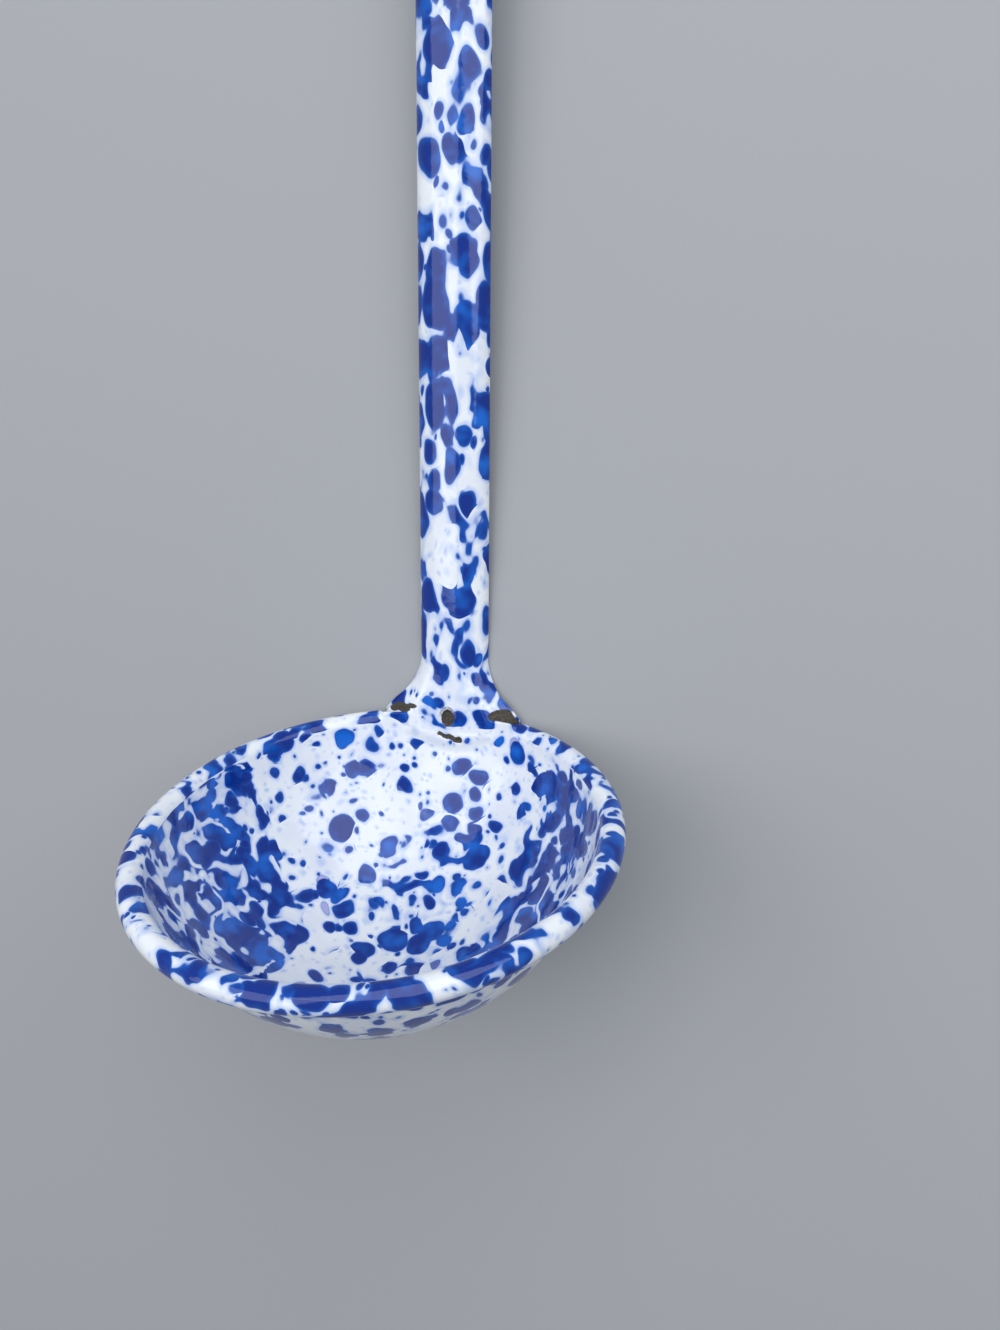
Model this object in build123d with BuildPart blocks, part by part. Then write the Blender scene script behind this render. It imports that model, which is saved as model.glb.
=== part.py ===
from build123d import *
from math import acos, asin, atan2, cos, degrees, radians, sin, sqrt
import os

# An enamelled soup ladle: a round bowl with a rolled rim, and a channel handle
# that is spot-welded inside the rim and ends in a hook.
# It lies on its back: +Z up, the handle along +Y, the plane YZ its mirror plane.
# The origin is under the middle of the box round it. Lengths are millimetres,
# angles are degrees, and sheet thicknesses include the fired enamel.

# Bowl
rim_radius = 45.0        # centre line of the rolled bead
bead_radius = 2.45       # outside of the bead's own round section
bowl_depth = 34.5        # bead's centre plane to the outside of the bottom
bowl_sheet = 0.8
curl_slit = 0.35         # the curl's raw edge stays this far off the wall

# The bowl's edge at the handle, where it isn't rolled
bead_gap = 32.0          # between the centres of the bead's two cut ends
tab_width = 16.0         # plain wall left standing behind the foot
tab_height = 4.2
tab_corner = 4.5
notch_width = 24.4       # each wing crosses the wall in a notch beside the tab
notch_gap = 0.3          # the notches end this far below the wings
shoulder_width = 31.8    # across the two shoulders, from a bead's end to the other
shoulder_height = 2.0    # plain wall left standing in front of the wings

# Handle
handle_sheet = 0.8
handle_width = 16.0
channel_depth = 4.0      # crown of the front to the back edges
handle_length = 250.0    # from the rim to the start of the hook
lap_gap = 0.12           # between the foot and the wall that it is welded to

# Foot of the handle: two wings that lie behind the rim, and a tongue inside it
foot_width = 33.0        # across the wings
foot_height = 14.5       # the flare starts this far above the rim
foot_depth = 2.1         # crown of the front to the wings' back edges
wing_lap = 1.2           # the wings end this far below the rim
tongue_width = 17.4
tongue_length = 3.4      # below the rim

# Hook
hook_radius = 10.0       # outside of the bend
hook_sweep = 172.0
hook_width = 12.0
hook_depth = 2.2         # of the channel where it goes round the bend
hook_tip = 9.0
hook_corner = 5.0
taper_length = 46.0      # the handle narrows and flattens over this length

# Spot welds in a row across the tongue
weld_count = 3
weld_radius = 1.7
weld_pitch = 4.4
weld_height = 1.5        # of the row above the rim
weld_shift = -0.3        # of the row to one side
weld_dimple = 0.25       # each nugget's face lies this far below the sheet's

overrun = 6.0            # sketches and cuts run this far past what they shape

os.makedirs("parts", exist_ok=True)

# Half of the channel's section, as angles round an arch: its crown is an arc up
# to the second one. Where the foot opens out, the crown becomes the tongue's arc
# and the other points lie on a wing, at shares of the wing's width and drop.
arch_angles = (0, 38, 55, 72, 90)
wing_shares = ((0.2, 0.1), (0.6, 0.53), (1, 1))
# Stations up the foot: share of its height, of its flare, of its opening out.
foot_shares = ((0, 0.93, 1), (0.05, 0.98, 1), (0.1, 1, 1), (0.19, 0.965, 1), (0.29, 0.82, 1),
               (0.38, 0.67, 1), (0.49, 0.45, 0.92), (0.63, 0.25, 0.6), (0.78, 0.11, 0.24),
               (0.9, 0.03, 0.09), (1, 0, 0))
taper_shares = ((0, 0), (0.25, 0.15), (0.5, 0.5), (0.75, 0.85), (1, 1))

# The wall is part of a sphere that runs into the bead with no step.
steel_depth = bowl_depth - bowl_sheet
inner_radius = ((rim_radius**2 + steel_depth**2 - bead_radius**2)
                / (2 * (steel_depth + bead_radius)))
outer_radius = inner_radius + bowl_sheet
lap_radius = inner_radius - lap_gap
front_radius = lap_radius - handle_sheet
sphere_rise = outer_radius - bowl_depth
lean = atan2(sphere_rise, rim_radius)
lean_angle = degrees(lean)

# The handle leaves the rim along the wall. On the table its back edges, where
# the foot begins, and the hook's tip touch: it rises a little towards the hook.
bend = radians(hook_sweep)
tip_up = handle_length + hook_radius * sin(bend) + hook_tip * cos(bend)
tip_back = hook_radius * (1 - cos(bend)) + hook_tip * sin(bend)
lie = atan2(tip_back - channel_depth, tip_up - foot_height)
hook_centre = handle_sheet - hook_radius
foot_z = (channel_depth - handle_sheet) * cos(lie) - foot_height * sin(lie)
far_y = handle_length * cos(lie) - hook_centre * sin(lie) + hook_radius
near_y = -inner_radius * sin(lie) - outer_radius
foot_y = -(far_y + near_y) / 2

along = Vector(0, cos(lie), sin(lie))
front = Vector(0, -sin(lie), cos(lie))
across = Vector(1, 0, 0)
foot = Vector(0, foot_y, foot_z)
bowl_centre = foot + front * inner_radius
bowl_axis = along * cos(lean) + front * sin(lean)
to_handle = along * sin(lean) - front * cos(lean)
rim_centre = bowl_centre - bowl_axis * sphere_rise
hook_axis = Axis(foot + along * handle_length + front * hook_centre, -across)
tip_out = front * cos(bend) + along * sin(bend)
tip_ahead = along * cos(bend) - front * sin(bend)
tip_start = hook_axis.position + tip_out * (hook_radius - handle_sheet)

face_plane = Plane(origin=foot, x_dir=across, z_dir=front)
tip_section_plane = Plane(origin=tip_start, x_dir=across, z_dir=-tip_ahead)
tip_face_plane = Plane(origin=tip_start, x_dir=across, z_dir=tip_out)
meridian = Plane(origin=rim_centre, x_dir=to_handle, z_dir=across)


def section_plane(up):
    """Across the handle, at a height above the rim."""
    return Plane(origin=foot + along * up, x_dir=across, z_dir=-along)


def foot_half(flare_share):
    """Half of the strip's width in the foot."""
    return (handle_width + flare_share * (foot_width - handle_width)) / 2


def tongue_half(half_width):
    """Half of the width that lies on the wall where the foot is open."""
    return half_width * tongue_width / foot_width


def arch_points(half_width, depth, inset):
    """Half of the channel, from its crown to its edge, on its front or back."""
    angles = [radians(angle) for angle in arch_angles]
    return [Vector((half_width - inset) * sin(angle),
                   handle_sheet - inset - (depth - inset) * (1 - cos(angle)))
            for angle in angles]


def open_points(half_width, depth, up):
    """Half of the open foot, from its middle to a wing's edge: front and back."""
    radius = sqrt(front_radius**2 - min(up, 0)**2)
    back_radius = sqrt(lap_radius**2 - min(up, 0)**2)
    middle = Vector(0, inner_radius)
    x = tongue_half(half_width)
    edge = inner_radius - sqrt(radius**2 - x**2)
    drop = edge - handle_sheet + depth
    fronts = [middle - Vector(0, radius), Vector(x, edge)]
    fronts += [Vector(x + out_share * (half_width - x), edge - drop_share * drop)
               for out_share, drop_share in wing_shares]
    backs = [middle + (point - middle) * (back_radius / radius) for point in fronts[:2]]
    for i in range(2, len(fronts)):
        run = (fronts[min(i + 1, len(fronts) - 1)] - fronts[i - 1]).normalized()
        backs.append(fronts[i] + Vector(run.Y, -run.X) * handle_sheet)
    return fronts, backs


def strip_line(half, down):
    """One face of the strip: an arc over the crown and a spline down each side."""
    crown, shoulder = half[:2]
    turn = 2 * atan2(shoulder.Y - crown.Y, shoulder.X)
    ThreePointArc(Vector(-shoulder.X, shoulder.Y), crown, shoulder)
    Spline(*half[1:], tangents=[(cos(turn), sin(turn)), (down.X, down.Y)])
    Spline(*[Vector(-point.X, point.Y) for point in half[1:]],
           tangents=[(-cos(turn), sin(turn)), (-down.X, down.Y)])


def sheet_section(half_width, depth, opened=0.0, up=0.0):
    """The strip's section, anywhere from the channel to the open foot."""
    open_front, open_back = open_points(half_width, depth, up)
    arch_front = arch_points(half_width, depth, 0)
    arch_back = arch_points(half_width, depth, handle_sheet)
    fronts = [a * (1 - opened) + b * opened for a, b in zip(arch_front, open_front)]
    backs = [a * (1 - opened) + b * opened for a, b in zip(arch_back, open_back)]
    wing_run = (open_front[-1] - open_front[-2]).normalized()
    down = Vector(0, -1) * (1 - opened) + wing_run * opened
    with BuildSketch() as section:
        with BuildLine():
            strip_line(fronts, down)
            strip_line(backs, down)
            Line(fronts[-1], backs[-1])
            Line((-fronts[-1].X, fronts[-1].Y), (-backs[-1].X, backs[-1].Y))
        make_face()
    return section.sketch


# The bowl: a pressed wall with its edge curled outwards into a bead, but for a
# gap at the handle, where the plain wall has a tab, and a notch and a shoulder on
# each side of it.
half_gap = asin(bead_gap / 2 / rim_radius)
clear_angle = degrees(acos((bead_radius - bowl_sheet) / bead_radius) + curl_slit / bead_radius)
curl_angle = 360 - clear_angle
wall_angle = 90 - lean_angle
wall_pole = (0, sphere_rise)
bead_middle = (rim_radius, 0)
bowl_line = Axis(rim_centre, bowl_axis)
gap_edge = to_handle * cos(half_gap) - across * sin(half_gap)
gap_normal = across * cos(half_gap) + to_handle * sin(half_gap)
bead_start = Plane(origin=rim_centre, x_dir=gap_edge, z_dir=gap_normal)
gap_angle = 2 * degrees(half_gap)
below_bead = degrees(2 * bead_radius / outer_radius)
bead_reach = rim_radius + 2 * bead_radius
notch_depth = wing_lap + notch_gap
tab_inner = sqrt(inner_radius**2 - notch_depth**2)
tab_outer = sqrt(outer_radius**2 - notch_depth**2)
first_weld = weld_shift - (weld_count - 1) * weld_pitch / 2
weld_points = [(first_weld + i * weld_pitch, weld_height) for i in range(weld_count)]

with BuildPart() as tab:
    with BuildSketch(section_plane(-notch_depth)):
        with Locations((0, inner_radius)):
            Circle(tab_outer)
            Circle(tab_inner, mode=Mode.SUBTRACT)
        Rectangle(tab_width, 2 * overrun, mode=Mode.INTERSECT)
    extrude(amount=-(notch_depth + tab_height))
    with BuildSketch(face_plane):
        with Locations((0, (tab_height - notch_depth) / 2)):
            blank = Rectangle(tab_width, tab_height + notch_depth)
        fillet(blank.vertices().group_by(Axis.Y)[-1], tab_corner)
    extrude(amount=overrun, both=True, mode=Mode.INTERSECT)

with BuildPart() as shoulders:
    with BuildSketch(section_plane(-notch_depth)):
        with Locations((0, inner_radius)):
            Circle(tab_outer)
            Circle(tab_inner, mode=Mode.SUBTRACT)
        Rectangle(shoulder_width, 2 * overrun, mode=Mode.INTERSECT)
        Rectangle(notch_width, 2 * overrun, mode=Mode.SUBTRACT)
    extrude(amount=-(notch_depth + shoulder_height))

with BuildPart() as bowl:
    with BuildSketch(bead_start):
        with BuildLine():
            inside = CenterArc(wall_pole, inner_radius, -90, wall_angle)
            curl_out = CenterArc(bead_middle, bead_radius, 180 - lean_angle, -curl_angle)
            curl_in = CenterArc(bead_middle, bead_radius - bowl_sheet, 180 - lean_angle, -curl_angle)
            outside = CenterArc(wall_pole, outer_radius, -90, wall_angle)
            Line(curl_out @ 1, curl_in @ 1)
            Line(outside @ 0, inside @ 0)
        make_face()
    revolve(axis=bowl_line)
    with BuildSketch(bead_start):
        with BuildLine():
            kept = CenterArc(wall_pole, outer_radius, -lean_angle - below_bead, below_bead)
            edge = inside @ 1
            high = 2 * bead_radius
            low = (kept @ 0).Y
            Polyline(kept @ 1, edge, (edge.X, high), (bead_reach, high), (bead_reach, low), kept @ 0)
        make_face()
    revolve(axis=bowl_line, revolution_arc=-gap_angle, mode=Mode.SUBTRACT)
    with BuildSketch(section_plane(-notch_depth)):
        Rectangle(notch_width, 2 * overrun)
    extrude(amount=-overrun, mode=Mode.SUBTRACT)
    add(tab.part)
    add(shoulders.part)
    with BuildSketch(face_plane):
        with Locations(*weld_points):
            Circle(weld_radius)
    extrude(amount=overrun, both=True, mode=Mode.SUBTRACT)
bowl.part.label = "bowl"
export_step(bowl.part, "parts/bowl.step")

# The handle: a channel with a crowned front. Its foot opens out into the wings
# and the tongue.
straight_end = handle_length - taper_length
foot_span = foot_height + wing_lap
sphere_turn = (0, -90, 0)    # keeps a sphere's poles and seam off the tongue

with BuildPart() as tongue:
    with BuildSketch(face_plane):
        with BuildLine():
            left = (-tongue_half(foot_half(foot_shares[0][1])), -wing_lap)
            right = (tongue_half(foot_half(foot_shares[0][1])), -wing_lap)
            ThreePointArc(left, (0, -tongue_length), right)
            Line(right, left)
        make_face()
    extrude(amount=overrun, both=True)
    with Locations(bowl_centre):
        Sphere(lap_radius, rotation=sphere_turn, mode=Mode.INTERSECT)
        Sphere(front_radius, rotation=sphere_turn, mode=Mode.SUBTRACT)

with BuildPart() as tip:
    with BuildSketch(tip_section_plane):
        add(sheet_section(hook_width / 2, hook_depth))
    extrude(amount=-hook_tip)
    with BuildSketch(tip_face_plane):
        with Locations((0, (hook_tip - overrun) / 2)):
            blank = Rectangle(hook_width, hook_tip + overrun)
        fillet(blank.vertices().group_by(Axis.Y)[-1], hook_corner)
    extrude(amount=overrun, both=True, mode=Mode.INTERSECT)

with BuildPart() as handle:
    for up_share, flare_share, open_share in foot_shares:
        up = up_share * foot_span - wing_lap
        depth = channel_depth + open_share * (foot_depth - channel_depth)
        with BuildSketch(section_plane(up)):
            add(sheet_section(foot_half(flare_share), depth, open_share, up))
    loft()
    with BuildSketch(section_plane(foot_height)):
        add(sheet_section(handle_width / 2, channel_depth))
    extrude(amount=foot_height - straight_end)
    for up_share, taper_share in taper_shares:
        half_width = (handle_width + taper_share * (hook_width - handle_width)) / 2
        depth = channel_depth + taper_share * (hook_depth - channel_depth)
        with BuildSketch(section_plane(straight_end + up_share * taper_length)):
            add(sheet_section(half_width, depth))
    loft()
    with BuildSketch(section_plane(handle_length)):
        add(sheet_section(hook_width / 2, hook_depth))
    revolve(axis=hook_axis, revolution_arc=hook_sweep)
    add(tip.part)
    add(tongue.part)
    with BuildSketch(face_plane):
        with Locations(*weld_points):
            Circle(weld_radius)
    extrude(amount=overrun, both=True, mode=Mode.SUBTRACT)
handle.part.label = "handle"
export_step(handle.part, "parts/handle.step")

# The weld nuggets fill their holes from the wall's back to just below the front.
with BuildPart() as spot_welds:
    with BuildSketch(face_plane):
        with Locations(*weld_points):
            Circle(weld_radius)
    extrude(amount=overrun, both=True)
    with Locations(bowl_centre):
        Sphere(outer_radius, rotation=sphere_turn, mode=Mode.INTERSECT)
        Sphere(front_radius + weld_dimple, rotation=sphere_turn, mode=Mode.SUBTRACT)
spot_welds.part.label = "spot_welds"
export_step(spot_welds.part, "parts/spot_welds.step")
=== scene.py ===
from math import acos, asin, atan2, cos, degrees, pi, radians, sin

import bpy
import numpy as np
from mathutils import Matrix, Vector


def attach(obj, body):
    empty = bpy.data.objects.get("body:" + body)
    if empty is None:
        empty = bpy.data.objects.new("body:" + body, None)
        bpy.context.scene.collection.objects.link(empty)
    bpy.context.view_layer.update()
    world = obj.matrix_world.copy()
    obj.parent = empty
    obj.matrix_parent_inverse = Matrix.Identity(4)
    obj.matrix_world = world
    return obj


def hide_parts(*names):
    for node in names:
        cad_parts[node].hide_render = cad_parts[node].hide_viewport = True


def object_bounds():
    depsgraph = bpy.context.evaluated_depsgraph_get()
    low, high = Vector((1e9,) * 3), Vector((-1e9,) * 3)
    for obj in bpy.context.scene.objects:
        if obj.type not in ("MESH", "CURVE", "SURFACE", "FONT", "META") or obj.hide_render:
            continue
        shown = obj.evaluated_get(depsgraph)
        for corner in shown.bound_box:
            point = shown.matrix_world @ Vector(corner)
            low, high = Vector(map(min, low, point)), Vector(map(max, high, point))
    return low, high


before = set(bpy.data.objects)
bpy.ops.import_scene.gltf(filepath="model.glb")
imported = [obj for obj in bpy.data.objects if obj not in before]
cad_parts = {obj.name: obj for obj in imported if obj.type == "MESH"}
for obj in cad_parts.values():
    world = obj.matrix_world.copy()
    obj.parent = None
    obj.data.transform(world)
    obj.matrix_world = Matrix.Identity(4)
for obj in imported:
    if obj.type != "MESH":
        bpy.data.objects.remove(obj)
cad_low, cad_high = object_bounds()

# An enamelled soup ladle on a pale floor. Sizes are in millimetres and angles in
# degrees, unless a comment says otherwise. Meshes, lamps and camera are in metres.
MM = 0.001

# Sizes of the solids, as in the CAD source
RIM_RADIUS = 45.0
BEAD_RADIUS = 2.45
BOWL_DEPTH = 34.5
SHEET = 0.8
CURL_SLIT = 0.35
BEAD_GAP = 32.0
TAB_WIDTH = 16.0
TAB_HEIGHT = 4.2
TAB_CORNER = 4.5
WALL_LIP = 2.0
HANDLE_WIDTH = 16.0
CHANNEL_DEPTH = 4.0
HANDLE_LENGTH = 250.0
LAP_GAP = 0.12
FOOT_WIDTH = 33.0
FOOT_HEIGHT = 14.5
FOOT_DEPTH = 2.1
WING_LAP = 1.2
WING_CORNER = 1.5
TONGUE_WIDTH = 17.4
TONGUE_LENGTH = 3.4
HOOK_RADIUS = 10.0
HOOK_SWEEP = 172.0
HOOK_WIDTH = 12.0
HOOK_DEPTH = 2.2
HOOK_TIP = 9.0
HOOK_CORNER = 5.0
TAPER_LENGTH = 46.0
WELD_COUNT = 3
WELD_RADIUS = 1.7
WELD_PITCH = 4.4
WELD_HEIGHT = 1.5
WELD_SHIFT = -0.3

# Up the foot: share of its height, of its flare and of its opening out
FOOT_SHARES = ((0, 0.93, 1), (0.05, 0.98, 1), (0.1, 1, 1), (0.19, 0.965, 1), (0.29, 0.82, 1),
               (0.38, 0.67, 1), (0.49, 0.45, 0.92), (0.63, 0.25, 0.6), (0.78, 0.11, 0.24),
               (0.9, 0.03, 0.09), (1, 0, 0))
FOOT_STATIONS = [(share * (FOOT_HEIGHT + WING_LAP) - WING_LAP, flare, opened)
                 for share, flare, opened in FOOT_SHARES]
# Along the taper: share of its length and of its narrowing
TAPER_SHARES = ((0, 0), (0.25, 0.15), (0.5, 0.5), (0.75, 0.85), (1, 1))
# Out along a wing: share of its width and of its fall
WING_SHARES = ((0.2, 0.1), (0.6, 0.53), (1, 1))

# Where the object lies, worked out as in the CAD source, with angles in radians
STEEL_DEPTH = BOWL_DEPTH - SHEET
INNER_RADIUS = ((RIM_RADIUS**2 + STEEL_DEPTH**2 - BEAD_RADIUS**2)
                / (2 * (STEEL_DEPTH + BEAD_RADIUS)))
OUTER_RADIUS = INNER_RADIUS + SHEET
FRONT_RADIUS = INNER_RADIUS - LAP_GAP - SHEET
SPHERE_RISE = OUTER_RADIUS - BOWL_DEPTH
LEAN = atan2(SPHERE_RISE, RIM_RADIUS)
BEND = radians(HOOK_SWEEP)
TIP_UP = HANDLE_LENGTH + HOOK_RADIUS * sin(BEND) + HOOK_TIP * cos(BEND)
TIP_BACK = HOOK_RADIUS * (1 - cos(BEND)) + HOOK_TIP * sin(BEND)
LIE = atan2(TIP_BACK - CHANNEL_DEPTH, TIP_UP - FOOT_HEIGHT)
HOOK_CENTRE = SHEET - HOOK_RADIUS
FOOT_Z = (CHANNEL_DEPTH - SHEET) * cos(LIE) - FOOT_HEIGHT * sin(LIE)
FAR_Y = HANDLE_LENGTH * cos(LIE) - HOOK_CENTRE * sin(LIE) + HOOK_RADIUS
NEAR_Y = -INNER_RADIUS * sin(LIE) - OUTER_RADIUS

ACROSS = np.array([1.0, 0.0, 0.0])
ALONG = np.array([0.0, cos(LIE), sin(LIE)])
FRONT = np.array([0.0, -sin(LIE), cos(LIE)])
FOOT = np.array([0.0, -(FAR_Y + NEAR_Y) / 2, FOOT_Z])
BOWL_CENTRE = FOOT + FRONT * INNER_RADIUS
BOWL_AXIS = ALONG * cos(LEAN) + FRONT * sin(LEAN)
TO_HANDLE = ALONG * sin(LEAN) - FRONT * cos(LEAN)
RIM_CENTRE = BOWL_CENTRE - BOWL_AXIS * SPHERE_RISE

# Shape helpers

# Slopes stay under this many times the run beside them, so no curve overshoots
SLOPE_LIMIT = 3
# Slow waves in the fired enamel, one for each axis: a length for the axis, a length
# for the next axis, how much that one bends the wave, and where the wave starts
RIPPLE_WAVES = ((4.1, 6.3, 1.3, 0.0), (4.7, 5.9, 1.1, 2.0), (3.9, 7.1, 1.2, 4.0))
BOWL_RIPPLE = 0.14
HANDLE_RIPPLE = 0.07
# Lengths up to this count as none
NO_LENGTH = 1e-6


def spread(amounts, *directions):
    """Each amount along its direction, added up as rows of points."""
    return sum(np.asarray(amount)[..., None] * way for amount, way in zip(amounts, directions))


def smooth_step(low, high, value):
    """0 below low, 1 above high, smooth between."""
    share = np.clip((value - low) / (high - low), 0, 1)
    return share * share * (3 - 2 * share)


def bell(value, middle, width):
    """1 at the middle, and near 0 from two widths away."""
    return np.exp(-((value - middle) / width) ** 2)


def unit(vectors):
    """Vectors made 1 long, or 0 where they have no length."""
    length = np.linalg.norm(vectors, axis=-1, keepdims=True)
    return np.where(length > NO_LENGTH, vectors / np.maximum(length, NO_LENGTH), 0)


def hermite(t, start, end, leave, arrive):
    """A smooth run from start to end with a slope at each, for t from 0 to 1."""
    return ((2 * t**3 - 3 * t**2 + 1) * start + (t**3 - 2 * t**2 + t) * leave
            + (3 * t**2 - 2 * t**3) * end + (t**3 - t**2) * arrive)


def stations(table, at):
    """Smooth values between a table's rows, the first of each row being its place."""
    table = np.array(table, float)
    places = table[:, 0]
    values = []
    for column in table.T[1:]:
        run = np.diff(column) / np.diff(places)
        slopes = np.gradient(column, places)
        slopes[0] = slopes[-1] = 0
        for i in range(1, len(places) - 1):
            turns_back = run[i - 1] * run[i] <= 0
            limit = 0 if turns_back else SLOPE_LIMIT * min(abs(run[i - 1]), abs(run[i]))
            slopes[i] = np.clip(slopes[i], -limit, limit)
        k = np.clip(np.searchsorted(places, at) - 1, 0, len(places) - 2)
        step = places[k + 1] - places[k]
        t = np.clip((at - places[k]) / step, 0, 1)
        values.append(hermite(t, column[k], column[k + 1], step * slopes[k], step * slopes[k + 1]))
    return values


def ripple(points, depth):
    """A slow unevenness of fired enamel over dipped steel, from 0 to depth."""
    count = len(RIPPLE_WAVES)
    waves = 0
    for axis, (length, other_length, bend, start) in enumerate(RIPPLE_WAVES):
        other = points[..., (axis + 1) % count]
        waves = waves + np.sin(points[..., axis] / length + bend * np.sin(other / other_length) + start)
    return depth * (waves + count) / (2 * count)


def piece(name, points, faces, material, replaced, values=None):
    """A smooth mesh in the row frame that rides on the one body and replaces a node."""
    mesh = bpy.data.meshes.new(name)
    mesh.from_pydata((points * MM).tolist(), [], faces)
    mesh.polygons.foreach_set("use_smooth", [True] * len(mesh.polygons))
    for key, column in (values or {}).items():
        layer = mesh.attributes.new(key, "FLOAT", "POINT")
        layer.data.foreach_set("value", column.astype(np.float32))
    mesh.materials.append(material)
    made = bpy.data.objects.new(name, mesh)
    bpy.context.scene.collection.objects.link(made)
    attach(made, "root")
    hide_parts(replaced)


# Materials


def nodes_of(name):
    """A new material and its shader."""
    material = bpy.data.materials.new(name)
    material.use_nodes = True
    return material, material.node_tree.nodes["Principled BSDF"]


class Graph:
    """Adds nodes to one material or world and joins them, each call giving an output."""

    # The colour sockets of a Mix node, which has others of the same names
    MIX_FIRST = 6
    MIX_SECOND = 7
    MIX_RESULT = 2

    def __init__(self, owner):
        self.tree = owner.node_tree

    def put(self, socket, value):
        if isinstance(value, bpy.types.NodeSocket):
            self.tree.links.new(value, socket)
        else:
            socket.default_value = value

    def node(self, kind, inputs=(), output=0, **settings):
        made = self.tree.nodes.new(kind)
        for key, value in settings.items():
            setattr(made, key, value)
        for key, value in dict(inputs).items():
            self.put(made.inputs[key], value)
        return made.outputs[output]

    def math(self, operation, *values):
        return self.node("ShaderNodeMath", enumerate(values), operation=operation)

    def add(self, first, second):
        return self.math("ADD", first, second)

    def subtract(self, first, second):
        return self.math("SUBTRACT", first, second)

    def multiply(self, first, second):
        return self.math("MULTIPLY", first, second)

    def vector(self, operation, *values, output=0):
        return self.node("ShaderNodeVectorMath", enumerate(values), output, operation=operation)

    def scaled(self, value, amount):
        return self.node("ShaderNodeVectorMath", {0: value, "Scale": amount}, operation="SCALE")

    def run(self, value, low, high, start, end, kind="LINEAR"):
        """From start to end as the value goes from low to high."""
        inputs = {"Value": value, "From Min": low, "From Max": high, "To Min": start, "To Max": end}
        return self.node("ShaderNodeMapRange", inputs, interpolation_type=kind)

    def step(self, value, low, high, start=0.0, end=1.0):
        return self.run(value, low, high, start, end, "SMOOTHSTEP")

    def mix(self, share, first, second):
        return self.node("ShaderNodeMix", {0: share, self.MIX_FIRST: first, self.MIX_SECOND: second},
                         self.MIX_RESULT, data_type="RGBA")

    def noise(self, place, scale, detail, rough=0.5, output="Fac"):
        return self.node("ShaderNodeTexNoise",
                         {"Vector": place, "Scale": scale, "Detail": detail, "Roughness": rough}, output)

    def patches(self, place, noise, levels):
        """From 0 to 1 where a noise passes its levels."""
        return self.step(self.noise(place, *noise), *levels)

    def parts(self, vector):
        made = self.tree.nodes.new("ShaderNodeSeparateXYZ")
        self.tree.links.new(vector, made.inputs[0])
        return made.outputs

    def bump(self, height, strength):
        return self.node("ShaderNodeBump",
                         {"Height": height, "Strength": strength, "Distance": BUMP_DEPTH})

    def attribute(self, name):
        return self.node("ShaderNodeAttribute", output="Fac", attribute_name=name)

    def object_place(self):
        """The place on the object, in metres."""
        return self.node("ShaderNodeTexCoord", output="Object")

    def place(self):
        """The place on the object, in millimetres."""
        return self.scaled(self.object_place(), 1 / MM)


def srgb(red, green, blue):
    """A colour from its 0 to 255 screen values."""
    linear = []
    for value in (red, green, blue):
        share = value / 255
        linear.append(share / 12.92 if share <= 0.04045 else ((share + 0.055) / 1.055) ** 2.4)
    return (*linear, 1.0)


WHITE = srgb(236, 241, 245)
WHITE_COOL = srgb(225, 231, 241)
COBALT = srgb(0, 45, 135)
COBALT_THIN = srgb(16, 102, 204)
HALO = srgb(158, 186, 236)
# Pale mauve painted reflection: light glinting off a few blue drops, painted into their colour
PAINTED_REFLECTION = srgb(172, 174, 222)
SCORCH = srgb(128, 126, 140)
STEEL = srgb(48, 42, 34)
STEEL_PALE = srgb(98, 89, 76)

# Layers of round drops, large, middle and small: size of a cell, how many cells have
# one where the splatter is thin and where it is dense, least and most radius in cells
LAYERS = (
    (6.2, 0.50, 0.90, 0.34, 0.50),
    (4.2, 0.48, 0.74, 0.28, 0.46),
    (2.1, 0.46, 0.30, 0.14, 0.38),
)
LARGE, MIDDLE, SMALL = range(len(LAYERS))
# Millimetres between the layers, and how uneven and how soft their cells are
LAYER_SHIFT = (31.7, 17.3, 5.9)
RANDOMNESS = 0.75
SMOOTHNESS = 0.22
# The chances over which a drop grows from least to most, what it gains in cells where
# the splatter is dense, and the last chances over which it shrinks to nothing
SIZE_CHANCE = (0.1, 0.9)
DENSE_GROWTH = 0.07
FAINT = 0.12
# Paint that ran together: a noise per millimetre, the level above which it is blue
# where the splatter is thin and dense, and millimetres for a unit of the noise
BOWL_POOLS = (0.23, 0.92, 0.425, 7.0)
HANDLE_POOLS = (0.23, 0.76, 0.41, 7.0)
BANDS = (0.2, 0.9, 0.53, 8.0)
POOL_DETAIL = 1.0
# White veins in the paint where the splatter is dense: a noise per millimetre,
# millimetres for a unit of it, and half of a vein's width, with the shares of dense
# splatter over which veins start, and what stands for the width before that
VEINS = (0.15, 14.0, 0.6)
VEIN_DETAIL = 0.5
VEIN_DENSE = (0.82, 0.98)
NO_VEIN = -2.0
# Beyond this y a millimetre counts for less, so that drops are longer up the handle
STRETCH_FROM = -96.0
STRETCH = 0.62
# Unevenness of the drops: noises per millimetre and millimetres that each one moves
WARPS = ((0.17, 2.8), (0.5, 0.6))
NOISE_MIDDLE = 0.5
# Millimetres over which paint melts together
DROP_MELT = 0.9
VEIN_MELT = 0.4
BAND_MELT = 0.4
MIDDLE_MELT = 0.5
# Painted reflections, pale mauve drops that stand in for light glinting off some blue
# drops: the chances over which they start, the millimetres inside a middle drop over
# which they start, and the millimetres inside other paint and the shares of splatter
# over which they end
REFLECTION_CHANCE = (0.82, 0.86)
REFLECTION_INSIDE = (0.0, 0.25)
REFLECTION_APART = (-0.3, 0.0)
REFLECTION_DENSE = (0.3, 0.45)
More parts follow.
